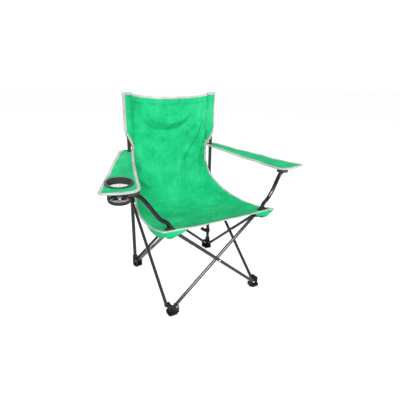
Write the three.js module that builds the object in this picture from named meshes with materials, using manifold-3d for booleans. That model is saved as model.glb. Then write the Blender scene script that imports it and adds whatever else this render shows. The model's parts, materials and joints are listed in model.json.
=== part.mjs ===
// A folding camp chair: four scissor pairs of steel tube join four feet to two back sliders and
// two front brackets, and a fabric sling, two arm straps and a mesh cup holder hang on the frame.
// Millimetres. +Z is up, the ground is Z 0, the sitter faces -Y, and "left" is the -X side.
import * as THREE from "three";
import { mergeVertices } from "three/addons/utils/BufferGeometryUtils.js";
import Module from "manifold-3d";

const wasm = await Module();
wasm.setup();

// Driving sizes of the frame, with the chair open
const footSpan = 416; // between neighbouring foot axes, the same in X and in Y
const half = footSpan / 2;
const lowPinHeight = 30; // rivets in the feet
const highPinHeight = 345; // rivets in the sliders and the front brackets
const pinInset = 24; // from a corner axis to a leg tube's rivet
const legTubeDiameter = 13;
const legTubeWall = 1;
const legTubeOverhang = 8; // tube past its rivet
const legPlaneOffset = 8.5; // from the corner plane to a leg tube's centre plane
const poleDiameter = 16;
const poleWall = 1.2;
const poleTop = 790;
const poleSeat = 14; // height of the pole's lower end inside its foot
const postDiameter = 16;
const postWall = 1.2;

// Clearances
const touchGap = 0.3; // between parts that touch
const slideGap = 0.5; // between a slider and its pole, on the radius
const rivetGap = 0.4; // between a rivet and its hole, on the radius

// Plastic corner pieces and rivets
const tabThickness = 6.5;
const tabRadius = 9; // rounded end about the rivet
const soleSide = 40;
const soleCorner = 10;
const soleThickness = 8;
const soleInset = 8; // sole centre, inwards from the corner axis
const socketWall = 3.5;
const footSocketTop = 48;
const sliderHalfHeight = 17;
const bracketFloor = 331; // underside of a front bracket's socket block
const bracketTop = 372;
const postSeat = 338; // lower end of the arm post inside its bracket
const rivetRadius = 2.5;
const rivetHeadRadius = 4.6;
const rivetHeadHeight = 2;
const spacerRadius = 6; // collar between two crossing tubes
const capHeight = 10;
const capPlug = 12;
const capWall = 1.6;

// Arm posts, as offsets from the front corner axis, and the straps that they carry
const postBend = [
  [0, 0, postSeat],
  [0, 0, 356],
  [0, 0, 374],
  [7, 2, 387],
  [31, 6, 403],
  [57, 8, 438],
  [80, 14, 472],
  [98, 20, 493],
  [117, 26, 503],
];
const postSteps = 24;
const armFrontHeight = 516; // mid surface of the strap at armFrontY
const armRearHeight = 563; // mid surface of the strap at the back pole
const armFrontY = 8 - half;
const armRearY = half + 20;
const armFrontInner = half + 96; // distances from the chair's middle plane
const armFrontOuter = half + 241;
const armRearInner = half - 24;
const armRearOuter = half + 40;
const armCornerRadius = 22;
const armThickness = 5;
const armCreaseY = -34; // the strap gathers behind this line when the chair folds
const armBracketHeight = 14;
const armBracketLength = 40;
const armBracketWidth = 26;
const armBracketShift = 2; // outwards from the post's end
const armBracketBore = 45; // along the post's end

// Cup holder
const cupX = -143 - half;
const cupAlong = 94 - half; // along the strap's own slope
const cupRingRadius = 50;
const cupHoleRadius = 42;
const cupRingFlange = 1.8;
const cupRingDrop = 14;
const cupDepth = 59;
const cupTaper = 3;
const meshThickness = 2;
const hoopWireRadius = 4;
const cupWall = 1.6; // from the hole to the cup's throat

// Sling
const slingThickness = 3;
const slingTop = poleTop + 7;
const slingTopHalfWidth = half - 14; // between the poles, where the sleeves take over
const slingWaist = half - 20; // half width at the waist, under the sleeves
const sleeveRadius = 16;
const sleeveBottom = 612;

const legTubeRadius = legTubeDiameter / 2;
const poleRadius = poleDiameter / 2;
const postRadius = postDiameter / 2;

// ---------------------------------------------------------------- solids

function toSolid(geometry) {
  const bare = geometry.clone();
  for (const name of Object.keys(bare.attributes)) {
    if (name !== "position") bare.deleteAttribute(name);
  }
  const merged = mergeVertices(bare, 1e-3);
  return new wasm.Manifold(
    new wasm.Mesh({
      numProp: 3,
      vertProperties: merged.attributes.position.array,
      triVerts: new Uint32Array(merged.index.array),
    }),
  );
}

function toGeometry(solid) {
  const mesh = solid.getMesh();
  const geometry = new THREE.BufferGeometry();
  const points = new THREE.BufferAttribute(new Float32Array(mesh.vertProperties), 3);
  geometry.setAttribute("position", points);
  geometry.setIndex(new THREE.BufferAttribute(new Uint32Array(mesh.triVerts), 1));
  geometry.computeVertexNormals();
  return geometry;
}

function combine(added, removed = []) {
  let whole = toSolid(added[0]);
  for (const piece of added.slice(1)) whole = whole.add(toSolid(piece));
  for (const piece of removed) whole = whole.subtract(toSolid(piece));
  return toGeometry(whole);
}

// Turns a geometry that was made along +Z so that it runs along a direction from a point.
function alongFrom(geometry, start, direction) {
  const turn = new THREE.Quaternion();
  turn.setFromUnitVectors(new THREE.Vector3(0, 0, 1), direction.clone().normalize());
  return geometry.applyQuaternion(turn).translate(start.x, start.y, start.z);
}

function rod(radius, start, end, sides = 24) {
  const way = end.clone().sub(start);
  const length = way.length();
  const geometry = new THREE.CylinderGeometry(radius, radius, length, sides);
  geometry.rotateX(Math.PI / 2).translate(0, 0, length / 2);
  return alongFrom(geometry, start, way);
}

function ringShape(outer, inner) {
  const shape = new THREE.Shape().absarc(0, 0, outer, 0, 2 * Math.PI);
  shape.holes.push(new THREE.Path().absarc(0, 0, inner, 0, 2 * Math.PI, true));
  return shape;
}

function pipe(outer, wall, start, end, segments = 12) {
  const way = end.clone().sub(start);
  const options = { depth: way.length(), bevelEnabled: false, curveSegments: segments };
  const geometry = new THREE.ExtrudeGeometry(ringShape(outer, outer - wall), options);
  return alongFrom(geometry, start, way);
}

function box(x0, x1, y0, y1, z0, z1) {
  const geometry = new THREE.BoxGeometry(Math.abs(x1 - x0), Math.abs(y1 - y0), z1 - z0);
  return geometry.translate((x0 + x1) / 2, (y0 + y1) / 2, (z0 + z1) / 2);
}

function lathe(profile, sides = 24) {
  const points = profile.map(([radius, height]) => new THREE.Vector2(radius, height));
  return new THREE.LatheGeometry(points, sides).rotateX(Math.PI / 2);
}

// ---------------------------------------------------------------- materials

function material(color, roughness, metalness = 0) {
  return () => new THREE.MeshStandardMaterial({ color, roughness, metalness });
}
const steelPaint = material(0x1b1d1f, 0.35, 0.3);
const blackPlastic = material(0x101112, 0.55);
const rivetSteel = material(0xb4b6b8, 0.35, 0.9);
const greenFabric = material(0x1fc272, 0.85);
const darkMesh = material(0x2c2e30, 0.8);

const chair = new THREE.Group();

function addPiece(name, geometry, makeMaterial) {
  const mesh = new THREE.Mesh(geometry, makeMaterial());
  mesh.name = name;
  chair.add(mesh);
  return mesh;
}

// ---------------------------------------------------------------- frame layout

// Each corner is a pair of signs; a tube's side is "outer" or "inner" of the corner plane.
const corners = {
  front_left: [-1, -1],
  front_right: [1, -1],
  rear_left: [-1, 1],
  rear_right: [1, 1],
};

// The pairs follow each other round the chair, so every corner has one outer and one inner tube.
function runsOutside(corner, direction, level) {
  const [sx, sy] = corners[corner];
  const xIsOuter = level === "low" ? sx * sy < 0 : sx * sy > 0;
  return direction === "x" ? xIsOuter : !xIsOuter;
}

function pinPoint(corner, direction, level) {
  const [sx, sy] = corners[corner];
  const side = runsOutside(corner, direction, level) ? 1 : -1;
  const across = half + side * legPlaneOffset;
  const along = half - pinInset;
  const height = level === "low" ? lowPinHeight : highPinHeight;
  if (direction === "x") return new THREE.Vector3(sx * along, sy * across, height);
  return new THREE.Vector3(sx * across, sy * along, height);
}

// The direction out of the chair, across the plane of a pin's scissor pair.
function outwards(corner, direction) {
  const [sx, sy] = corners[corner];
  return direction === "x" ? new THREE.Vector3(0, sy, 0) : new THREE.Vector3(sx, 0, 0);
}

// The plate on a foot, slider or bracket that a leg tube is riveted to.
function tab(corner, direction, level, bottom) {
  const [sx, sy] = corners[corner];
  const outer = runsOutside(corner, direction, level);
  const height = level === "low" ? lowPinHeight : highPinHeight;
  const face = legPlaneOffset - legTubeRadius - touchGap;
  const near = outer ? face - tabThickness : -face;
  const shape = new THREE.Shape();
  shape.moveTo(0, bottom);
  shape.lineTo(pinInset + tabRadius, bottom);
  shape.lineTo(pinInset + tabRadius, height);
  shape.absarc(pinInset, height, tabRadius, 0, Math.PI / 2);
  shape.lineTo(0, height + tabRadius);
  shape.closePath();
  const options = { depth: tabThickness, bevelEnabled: false, curveSegments: 8 };
  const plate = new THREE.ExtrudeGeometry(shape, options);
  // The plate's outline is drawn inwards and up; its thickness runs out of the chair.
  const inward = direction === "x" ? [-sx, 0, 0] : [0, -sy, 0];
  const out = outwards(corner, direction);
  const basis = new THREE.Matrix4();
  basis.makeBasis(new THREE.Vector3(...inward), new THREE.Vector3(0, 0, 1), out);
  plate.translate(0, 0, near).applyMatrix4(basis);
  if (basis.determinant() < 0) flipFaces(plate);
  return plate.translate(sx * half, sy * half, 0);
}

function flipFaces(geometry) {
  const { position } = geometry.attributes;
  for (let i = 0; i < position.count; i += 3) {
    const [x, y, z] = [position.getX(i), position.getY(i), position.getZ(i)];
    position.setXYZ(i, position.getX(i + 2), position.getY(i + 2), position.getZ(i + 2));
    position.setXYZ(i + 2, x, y, z);
  }
}

function rivetHole(corner, direction, level, radius = rivetRadius + rivetGap) {
  const pin = pinPoint(corner, direction, level);
  const reach = outwards(corner, direction).multiplyScalar(4 * legPlaneOffset);
  return rod(radius, pin.clone().sub(reach), pin.clone().add(reach), 12);
}

// ---------------------------------------------------------------- leg tubes and rivets

const scissors = [
  { side: "rear", direction: "x", low: "rear_left", high: "rear_right" },
  { side: "rear", direction: "x", low: "rear_right", high: "rear_left" },
  { side: "left", direction: "y", low: "rear_left", high: "front_left" },
  { side: "left", direction: "y", low: "front_left", high: "rear_left" },
  { side: "right", direction: "y", low: "rear_right", high: "front_right" },
  { side: "right", direction: "y", low: "front_right", high: "rear_right" },
  { side: "front", direction: "x", low: "front_left", high: "front_right" },
  { side: "front", direction: "x", low: "front_right", high: "front_left" },
];

for (const { side, direction, low, high } of scissors) {
  const foot = pinPoint(low, direction, "low");
  const head = pinPoint(high, direction, "high");
  const way = head.clone().sub(foot).normalize();
  const start = foot.clone().addScaledVector(way, -legTubeOverhang);
  const end = head.clone().addScaledVector(way, legTubeOverhang);
  const tube = pipe(legTubeRadius, legTubeWall, start, end, 10);
  const middle = foot.clone().lerp(head, 0.5);
  const reach = outwards(low, direction).multiplyScalar(legTubeDiameter);
  const middleHole = rod(
    rivetRadius + rivetGap,
    middle.clone().sub(reach),
    middle.clone().add(reach),
    12,
  );
  const holes = [rivetHole(low, direction, "low"), rivetHole(high, direction, "high")];
  const ownSide = direction === "x" ? low.split("_")[1] : low.split("_")[0];
  addPiece(`leg_tube_${side}_from_${ownSide}`, combine([tube], [...holes, middleHole]), steelPaint);
}

// A rivet along +Z from one head's seat to the other, with a collar where two tubes cross.
function rivet(from, to, collar = 0) {
  const headEdge = rivetHeadHeight * 0.4;
  const profile = [
    [0, from - rivetHeadHeight],
    [rivetHeadRadius * 0.7, from - rivetHeadHeight],
    [rivetHeadRadius, from - headEdge],
    [rivetHeadRadius, from],
    [rivetRadius, from],
  ];
  if (collar) {
    const corner = [rivetRadius, spacerRadius, spacerRadius, rivetRadius];
    const height = [-collar, -collar, collar, collar];
    corner.forEach((radius, i) => profile.push([radius, height[i]]));
  }
  profile.push(
    [rivetRadius, to],
    [rivetHeadRadius, to],
    [rivetHeadRadius, to + headEdge],
    [rivetHeadRadius * 0.7, to + rivetHeadHeight],
    [0, to + rivetHeadHeight],
  );
  return lathe(profile, 12);
}

function addRivet(name, centre, out, from, to, collar) {
  addPiece(name, alongFrom(rivet(from, to, collar), centre, out), rivetSteel);
}

const tubeSeat = legPlaneOffset + legTubeRadius + touchGap;
const tabSeat = tabThickness - legPlaneOffset + legTubeRadius + 2 * touchGap;

for (const level of ["low", "high"]) {
  for (const corner of Object.keys(corners)) {
    for (const direction of ["x", "y"]) {
      const outer = runsOutside(corner, direction, level);
      const out = outwards(corner, direction);
      const pin = pinPoint(corner, direction, level);
      const centre = pin.addScaledVector(out, outer ? -legPlaneOffset : legPlaneOffset);
      const from = outer ? -tabSeat : -tubeSeat;
      const to = outer ? tubeSeat : tabSeat;
      addRivet(`rivet_${corner}_${level}_${direction}`, centre, out, from, to, 0);
    }
  }
}

const crossings = {
  rear: ["rear_left", "x"],
  left: ["rear_left", "y"],
  right: ["rear_right", "y"],
  front: ["front_right", "x"],
};
for (const [side, [corner, direction]] of Object.entries(crossings)) {
  const out = outwards(corner, direction);
  const centre = out.clone().multiplyScalar(half);
  centre.z = (lowPinHeight + highPinHeight) / 2;
  const collar = legPlaneOffset - legTubeRadius - touchGap;
  addRivet(`rivet_${side}_crossing`, centre, out, -tubeSeat, tubeSeat, collar);
}

// ---------------------------------------------------------------- feet, sliders, brackets, poles

function cornerAxis(corner, height) {
  const [sx, sy] = corners[corner];
  return new THREE.Vector3(sx * half, sy * half, height);
}

function sole(corner) {
  const [sx, sy] = corners[corner];
  const s = soleSide / 2;
  const r = soleCorner;
  const shape = new THREE.Shape();
  shape.moveTo(-s + r, -s);
  shape.absarc(s - r, -s + r, r, -Math.PI / 2, 0);
  shape.absarc(s - r, s - r, r, 0, Math.PI / 2);
  shape.absarc(-s + r, s - r, r, Math.PI / 2, Math.PI);
  shape.absarc(-s + r, -s + r, r, Math.PI, 1.5 * Math.PI);
  const options = { depth: soleThickness, bevelEnabled: false, curveSegments: 6 };
  const plate = new THREE.ExtrudeGeometry(shape, options);
  return plate.translate(sx * (half - soleInset), sy * (half - soleInset), 0);
}

function cornerPiece(corner, level, bottom, core, bore) {
  const plates = ["x", "y"].map((direction) => tab(corner, direction, level, bottom));
  const holes = ["x", "y"].map((direction) => rivetHole(corner, direction, level));
  return combine([...core, ...plates], [...bore, ...holes]);
}

const socketRadius = poleRadius + touchGap + socketWall;
for (const corner of Object.keys(corners)) {
  const isRear = corner.startsWith("rear");
  const top = isRear ? footSocketTop : lowPinHeight + tabRadius;
  const blockRadius = isRear ? socketRadius : poleRadius;
  const block = rod(blockRadius, cornerAxis(corner, 1), cornerAxis(corner, top));
  const socketFloor = cornerAxis(corner, poleSeat - touchGap);
  const bore = rod(poleRadius + touchGap, socketFloor, cornerAxis(corner, top + 1));
  const core = [sole(corner), block];
  const foot = cornerPiece(corner, "low", 1, core, isRear ? [bore] : []);
  addPiece(`foot_${corner}`, foot, blackPlastic);
}

for (const side of ["left", "right"]) {
  const corner = `rear_${side}`;
  const pole = pipe(poleRadius, poleWall, cornerAxis(corner, poleSeat), cornerAxis(corner, poleTop));
  addPiece(`back_pole_${side}`, pole, steelPaint);

  const sliderBottom = highPinHeight - sliderHalfHeight;
  const sliderTop = highPinHeight + sliderHalfHeight;
  const sleeveOuter = poleRadius + slideGap + socketWall - 0.5;
  const sleeve = rod(sleeveOuter, cornerAxis(corner, sliderBottom), cornerAxis(corner, sliderTop));
  const boreEnds = [sliderBottom - 1, sliderTop + 1].map((height) => cornerAxis(corner, height));
  const bore = rod(poleRadius + slideGap, ...boreEnds);
  const tabBottom = highPinHeight - tabRadius;
  const slider = cornerPiece(corner, "high", tabBottom, [sleeve], [bore]);
  addPiece(`slider_${side}`, slider, blackPlastic);

  const inner = poleRadius - poleWall - touchGap;
  const capProfile = [
    [0, poleTop - capPlug],
    [inner, poleTop - capPlug],
    [inner, poleTop + touchGap],
    [poleRadius + capWall, poleTop + touchGap],
    [poleRadius + capWall, poleTop + capHeight * 0.7],
    [poleRadius * 0.6, poleTop + capHeight],
    [0, poleTop + capHeight],
  ];
  const cap = lathe(capProfile, 20).translate(...cornerAxis(corner, 0).toArray());
  addPiece(`pole_cap_${side}`, cap, blackPlastic);
}

function mirrored(side) {
  return side === "left" ? -1 : 1;
}

function postCurve(side) {
  const [sx, sy] = [mirrored(side), -1];
  const place = ([out, back, height]) => [sx * (half + out), sy * half + back, height];
  const points = postBend.map((point) => new THREE.Vector3(...place(point)));
  return new THREE.CatmullRomCurve3(points, false, "centripetal");
}

for (const side of ["left", "right"]) {
  const corner = `front_${side}`;
  const curve = postCurve(side);
  const options = { steps: postSteps, extrudePath: curve, curveSegments: 7, bevelEnabled: false };
  const postShape = ringShape(postRadius, postRadius - postWall);
  addPiece(`arm_post_${side}`, new THREE.ExtrudeGeometry(postShape, options), steelPaint);

  const block = rod(socketRadius, cornerAxis(corner, bracketFloor), cornerAxis(corner, bracketTop));
  const socketFloor = cornerAxis(corner, postSeat - touchGap);
  const bore = rod(postRadius + 3 * touchGap, socketFloor, cornerAxis(corner, bracketTop + 1));
  const bracket = cornerPiece(corner, "high", highPinHeight - tabRadius, [block], [bore]);
  addPiece(`front_bracket_${side}`, bracket, blackPlastic);
}

// ---------------------------------------------------------------- arm straps and cup holder

const armSlope = Math.atan2(armRearHeight - armFrontHeight, half - armFrontY);

// Places a shape drawn in the strap's own plane, where Y runs up its slope from armFrontY.
function ontoArm(geometry) {
  return geometry.rotateX(armSlope).translate(0, armFrontY, armFrontHeight);
}
function armDistance(y) {
  return (y - armFrontY) / Math.cos(armSlope);
}
function armEdge(y, front, rear) {
  return front + ((rear - front) * (y - armFrontY)) / (armRearY - armFrontY);
}

function strapOutline(side, fromY, toY) {
  const s = mirrored(side);
  const inner = (y) => s * armEdge(y, armFrontInner, armRearInner);
  const outer = (y) => s * armEdge(y, armFrontOuter, armRearOuter);
  const [near, far] = [armDistance(fromY), armDistance(toY)];
  const r = armCornerRadius;
  const shape = new THREE.Shape();
  if (fromY === armFrontY) {
    shape.moveTo(inner(fromY) + (s * r) / 2, near);
    shape.lineTo(outer(fromY) - s * r, near);
    shape.quadraticCurveTo(outer(fromY), near, outer(fromY + r), near + r);
    shape.lineTo(outer(toY), far);
    shape.lineTo(inner(toY), far);
    shape.lineTo(inner(fromY + r), near + r);
    shape.quadraticCurveTo(inner(fromY), near, inner(fromY) + (s * r) / 2, near);
  } else {
    shape.moveTo(inner(fromY), near);
    shape.lineTo(outer(fromY), near);
    shape.lineTo(outer(toY), far);
    shape.lineTo(inner(toY), far);
    shape.closePath();
  }
  return shape;
}

function strapSlab(outline) {
  const options = { depth: armThickness, bevelEnabled: false, curveSegments: 6 };
  return ontoArm(new THREE.ExtrudeGeometry(outline, options).translate(0, 0, -armThickness / 2));
}

function cupAxisRod(radius) {
  const [along, reach] = [armDistance(cupAlong), 4 * armThickness];
  const low = new THREE.Vector3(cupX, along, -reach);
  return ontoArm(rod(radius, low, new THREE.Vector3(cupX, along, reach), 40));
}

const cupThroat = cupHoleRadius + touchGap + cupWall;
for (const side of ["left", "right"]) {
  const corner = `rear_${side}`;
  const front = strapSlab(strapOutline(side, armFrontY, armCreaseY - touchGap));
  const opening = side === "left" ? [cupAxisRod(cupThroat + touchGap)] : [];
  addPiece(`arm_strap_front_${side}`, combine([front], opening), greenFabric);

  const rear = strapSlab(strapOutline(side, armCreaseY, armRearY));
  const poleHole = rod(
    poleRadius + 1,
    cornerAxis(corner, armRearHeight - 4 * armThickness),
    cornerAxis(corner, armRearHeight + 4 * armThickness),
  );
  addPiece(`arm_strap_rear_${side}`, combine([rear], [poleHole]), greenFabric);

  // The bracket is a block under the strap, bored along the post's upper end.
  const curve = postCurve(side);
  const postEnd = curve.getPoint(1);
  const postWay = curve.getTangent(1);
  const blockTop = -armThickness / 2 - touchGap;
  const blockY = armDistance(postEnd.y);
  const [w, l] = [armBracketWidth / 2, armBracketLength / 2];
  const block = box(-l, l, -w, w, blockTop - armBracketHeight, blockTop);
  block.translate(postEnd.x + mirrored(side) * armBracketShift, blockY, 0);
  ontoArm(block);
  const boreStart = postEnd.clone().addScaledVector(postWay, -armBracketBore);
  const boreEnd = postEnd.clone().addScaledVector(postWay, touchGap);
  const bore = rod(postRadius + 3 * touchGap, boreStart, boreEnd);
  addPiece(`arm_bracket_${side}`, combine([block], [bore]), blackPlastic);
}

function ontoCup(geometry) {
  return ontoArm(geometry.translate(cupX, armDistance(cupAlong), 0));
}

const ringTop = armThickness / 2 + touchGap + cupRingFlange;
const ringSeat = armThickness / 2 + touchGap;
const ringProfile = [
  [cupHoleRadius, ringTop],
  [cupHoleRadius, -cupRingDrop],
  [cupThroat, -cupRingDrop],
  [cupThroat, ringSeat],
  [cupRingRadius, ringSeat],
  [cupRingRadius - 1, ringTop],
  [cupHoleRadius, ringTop],
];
addPiece("cup_ring", ontoCup(lathe(ringProfile, 40)), blackPlastic);

const meshTop = -cupRingDrop - touchGap;
const meshTopRadius = cupThroat;
const meshFloorRadius = meshTopRadius - cupTaper;
const meshProfile = [
  [0, -cupDepth],
  [meshFloorRadius, -cupDepth],
  [meshTopRadius, meshTop],
  [meshTopRadius - meshThickness, meshTop],
  [meshFloorRadius - meshThickness, -cupDepth + meshThickness],
  [0, -cupDepth + meshThickness],
];
addPiece("cup_mesh", ontoCup(lathe(meshProfile, 36)), darkMesh);

const hoopRadius = meshFloorRadius - hoopWireRadius;
const hoopHeight = -cupDepth - hoopWireRadius - touchGap;
const hoop = new THREE.TorusGeometry(hoopRadius, hoopWireRadius, 8, 36);
addPiece("cup_hoop", ontoCup(hoop.translate(0, 0, hoopHeight)), blackPlastic);

// ---------------------------------------------------------------- sling

// Side view of the sling at the chair's middle plane, as [Y, Z], and its half width there.
const backBottom = [half - 16, 376];
const seatCrease = [half - 138, 316];
const slingFront = [-26 - half, 366];

// A band of fabric: a side view with a thickness, drawn across X and shaped by its width and sag.
function band(sideView, widthAt, sagAt, steps = 12) {
  const curve = new THREE.SplineCurve(sideView.map(([y, z]) => new THREE.Vector2(y, z)));
  const count = 16;
  const upper = [];
  const lower = [];
  for (let i = 0; i <= count; i += 1) {
    const point = curve.getPointAt(i / count);
    const tangent = curve.getTangentAt(i / count);
    const normal = new THREE.Vector2(-tangent.y, tangent.x);
    upper.push(point.clone().addScaledVector(normal, slingThickness / 2));
    lower.unshift(point.clone().addScaledVector(normal, -slingThickness / 2));
  }
  const shape = new THREE.Shape([...upper, ...lower]);
  const geometry = new THREE.ExtrudeGeometry(shape, { depth: 2, steps, bevelEnabled: false });
  geometry.translate(0, 0, -1);
  const { position } = geometry.attributes;
  for (let i = 0; i < position.count; i += 1) {
    const [y, z, u] = [position.getX(i), position.getY(i), position.getZ(i)];
    position.setXYZ(i, u * widthAt(y, z), y, z + sagAt(y, z) * u * u);
  }
  return geometry;
}

const smooth = THREE.MathUtils.smoothstep;

// Back: between the pole sleeves above, free below them and drawn in at the waist.
const backSide = [
  [half + 4, slingTop],
  [half + 24, 690],
  [half + 32, 590],
  [half + 24, 480],
  backBottom,
];
const waistTop = 520;
const backWidth = (y, z) =>
  slingWaist + (slingTopHalfWidth - slingWaist) * smooth(z, waistTop, sleeveBottom);
const back = band(backSide, backWidth, () => 0);
const sleeves = ["left", "right"].map((side) => {
  const corner = `rear_${side}`;
  const start = cornerAxis(corner, sleeveBottom);
  return rod(sleeveRadius, start, cornerAxis(corner, slingTop), 20);
});
const sleeveBores = ["left", "right"].map((side) => {
  const corner = `rear_${side}`;
  const start = cornerAxis(corner, sleeveBottom - 1);
  return rod(poleRadius + 3, start, cornerAxis(corner, slingTop + 1), 20);
});
addPiece("sling_back", combine([back, ...sleeves], sleeveBores), greenFabric);

// Seat: two panels that meet at a crease, the front one reaching over the front brackets.
const seatEdgeRise = 40;
const rearSide = [
  [backBottom[0] - 1, backBottom[1] - 3],
  [half - 68, 336],
  [seatCrease[0] + 1, seatCrease[1]],
];
const creaseWidth = half + 8;
const frontCornerWidth = half + 34;
const frontWideEnd = footSpan - 196; // distances forward of the crease
const frontSagStart = footSpan - 356;
const frontSagEnd = footSpan - 126;
const rearWidth = (y) =>
  slingWaist + (creaseWidth - slingWaist) * smooth(backBottom[0] - y, 0, 120);
const rearSag = (y) => seatEdgeRise * smooth(backBottom[0] - y, 0, 80);
addPiece("sling_seat_rear", combine([band(rearSide, rearWidth, rearSag)]), greenFabric);

const frontSide = [
  [seatCrease[0] - 1, seatCrease[1]],
  [half - 248, 322],
  [58 - half, 350],
  slingFront,
];
const frontWidth = (y) =>
  creaseWidth + (frontCornerWidth - creaseWidth) * smooth(seatCrease[0] - y, 0, frontWideEnd);
const frontSag = (y) =>
  seatEdgeRise * (1 - smooth(seatCrease[0] - y, frontSagStart, frontSagEnd));
const postHoles = ["left", "right"].map((side) => {
  const corner = `front_${side}`;
  const start = cornerAxis(corner, bracketFloor);
  return rod(socketRadius + touchGap, start, cornerAxis(corner, bracketTop + 40));
});
const frontPanel = band(frontSide, frontWidth, frontSag);
addPiece("sling_seat_front", combine([frontPanel], postHoles), greenFabric);

// Tie strap: a loop of webbing round the rear right pole, with its tail hanging beside it.
const tieHeight = 92;
const tieWidth = 22;
const tieRing = pipe(
  poleRadius + 3.4,
  2.4,
  cornerAxis("rear_right", tieHeight - tieWidth / 2),
  cornerAxis("rear_right", tieHeight + tieWidth / 2),
);
const tieTail = box(
  half - poleRadius - 34,
  half - poleRadius - 1.6,
  half - 1.2,
  half + 1.2,
  tieHeight - tieWidth / 2 + 1,
  tieHeight + tieWidth / 2 - 1,
);
addPiece("tie_strap", combine([tieRing, tieTail]), material(0x2c3a33, 0.8));

export default chair;
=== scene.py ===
# Looks of a folding camp chair: fabric, binding, stitching, mesh, materials, light and camera.
# Metres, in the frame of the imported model: +Z up, the sitter faces -Y, "left" is the -X side.
import json
import math

import bmesh
import bpy
import numpy as np
from mathutils import Matrix, Vector
from mathutils import noise as bpy_noise


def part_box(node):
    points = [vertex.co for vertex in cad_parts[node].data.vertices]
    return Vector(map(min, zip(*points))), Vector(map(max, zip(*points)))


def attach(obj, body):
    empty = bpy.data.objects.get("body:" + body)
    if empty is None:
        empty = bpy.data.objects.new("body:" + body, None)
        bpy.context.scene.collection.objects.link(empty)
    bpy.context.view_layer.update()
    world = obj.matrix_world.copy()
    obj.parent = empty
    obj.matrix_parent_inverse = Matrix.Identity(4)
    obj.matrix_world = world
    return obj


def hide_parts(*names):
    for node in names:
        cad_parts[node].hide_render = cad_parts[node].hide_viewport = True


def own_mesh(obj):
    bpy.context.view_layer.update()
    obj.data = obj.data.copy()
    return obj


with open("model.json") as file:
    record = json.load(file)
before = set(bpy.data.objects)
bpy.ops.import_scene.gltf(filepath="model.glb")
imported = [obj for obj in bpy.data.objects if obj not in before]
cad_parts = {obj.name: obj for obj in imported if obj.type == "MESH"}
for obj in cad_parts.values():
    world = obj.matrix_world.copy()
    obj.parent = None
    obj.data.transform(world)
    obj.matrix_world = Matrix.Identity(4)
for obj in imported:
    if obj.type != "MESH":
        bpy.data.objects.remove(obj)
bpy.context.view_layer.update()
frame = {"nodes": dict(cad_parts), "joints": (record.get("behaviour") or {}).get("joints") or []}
nodes = frame["nodes"]

# ---- sizes from the frame


def centre(name):
    low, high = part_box(name)
    return (np.array(low) + np.array(high)) / 2


def joint(name):
    return next(j for j in frame["joints"] if j["name"] == name)


HALF = float(centre("back_pole_right")[0])  # half of the distance between the poles
POLE_RADIUS = float(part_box("back_pole_right")[1][0] - HALF)
POLE_TOP = float(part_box("back_pole_right")[1][2])
SEAT_CREASE_Y = float(joint("seat_front_fold")["pos_m"][1])
BACK_BOTTOM = joint("seat_rear_fold")["pos_m"]
SIGN = {"left": -1, "right": 1}
UP = (0.0, 0.0, 1.0)

# ---- materials


def new_material(name):
    mat = bpy.data.materials.new(name)
    mat.use_nodes = True
    tree = mat.node_tree
    tree.nodes.clear()
    out = tree.nodes.new("ShaderNodeOutputMaterial")
    shader = tree.nodes.new("ShaderNodeBsdfPrincipled")
    tree.links.new(shader.outputs[0], out.inputs[0])
    return mat, tree, shader


def node(tree, kind, links=(), **values):
    n = tree.nodes.new(kind)
    for key, value in values.items():
        if key in n.inputs:
            n.inputs[key].default_value = value
        else:
            setattr(n, key, value)
    for target, source in links:
        tree.links.new(source, n.inputs[target])
    return n


def noise(tree, vector, scale, detail, roughness):
    values = {"Scale": scale, "Detail": detail, "Roughness": roughness}
    return node(tree, "ShaderNodeTexNoise", [("Vector", vector)], **values).outputs["Fac"]


def ramp(tree, value, stops):
    n = tree.nodes.new("ShaderNodeValToRGB")
    n.color_ramp.elements[0].position, n.color_ramp.elements[0].color = stops[0]
    n.color_ramp.elements[1].position, n.color_ramp.elements[1].color = stops[-1]
    for position, color in stops[1:-1]:
        n.color_ramp.elements.new(position).color = color
    tree.links.new(value, n.inputs[0])
    return n.outputs[0]


def maths(tree, operation, a, b=None):
    n = tree.nodes.new("ShaderNodeMath")
    n.operation = operation
    for i, value in enumerate((a, b)):
        if value is None:
            continue
        if isinstance(value, (int, float)):
            n.inputs[i].default_value = value
        else:
            tree.links.new(value, n.inputs[i])
    return n.outputs[0]


def bump(tree, shader, heights):
    last = None
    for height, strength, distance in heights:
        links = [("Height", height)] + ([("Normal", last)] if last else [])
        last = node(tree, "ShaderNodeBump", links, Strength=strength, Distance=distance).outputs[0]
    tree.links.new(last, shader.inputs["Normal"])


def rgba(color, share=1.0):
    return (*[c * share for c in color], 1.0)


def grey(level):
    return (level, level, level, 1.0)


def weave(tree, uv, pitch):
    """Over-and-under threads: a height from 0 to 1 for a plain weave of that thread pitch."""
    split = tree.nodes.new("ShaderNodeSeparateXYZ")
    tree.links.new(uv, split.inputs[0])
    turns = 2 * math.pi / pitch
    across = maths(tree, "SINE", maths(tree, "MULTIPLY", split.outputs[0], turns))
    along = maths(tree, "SINE", maths(tree, "MULTIPLY", split.outputs[1], turns))
    return maths(tree, "MULTIPLY_ADD", maths(tree, "MULTIPLY", across, along), 0.5)


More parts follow.
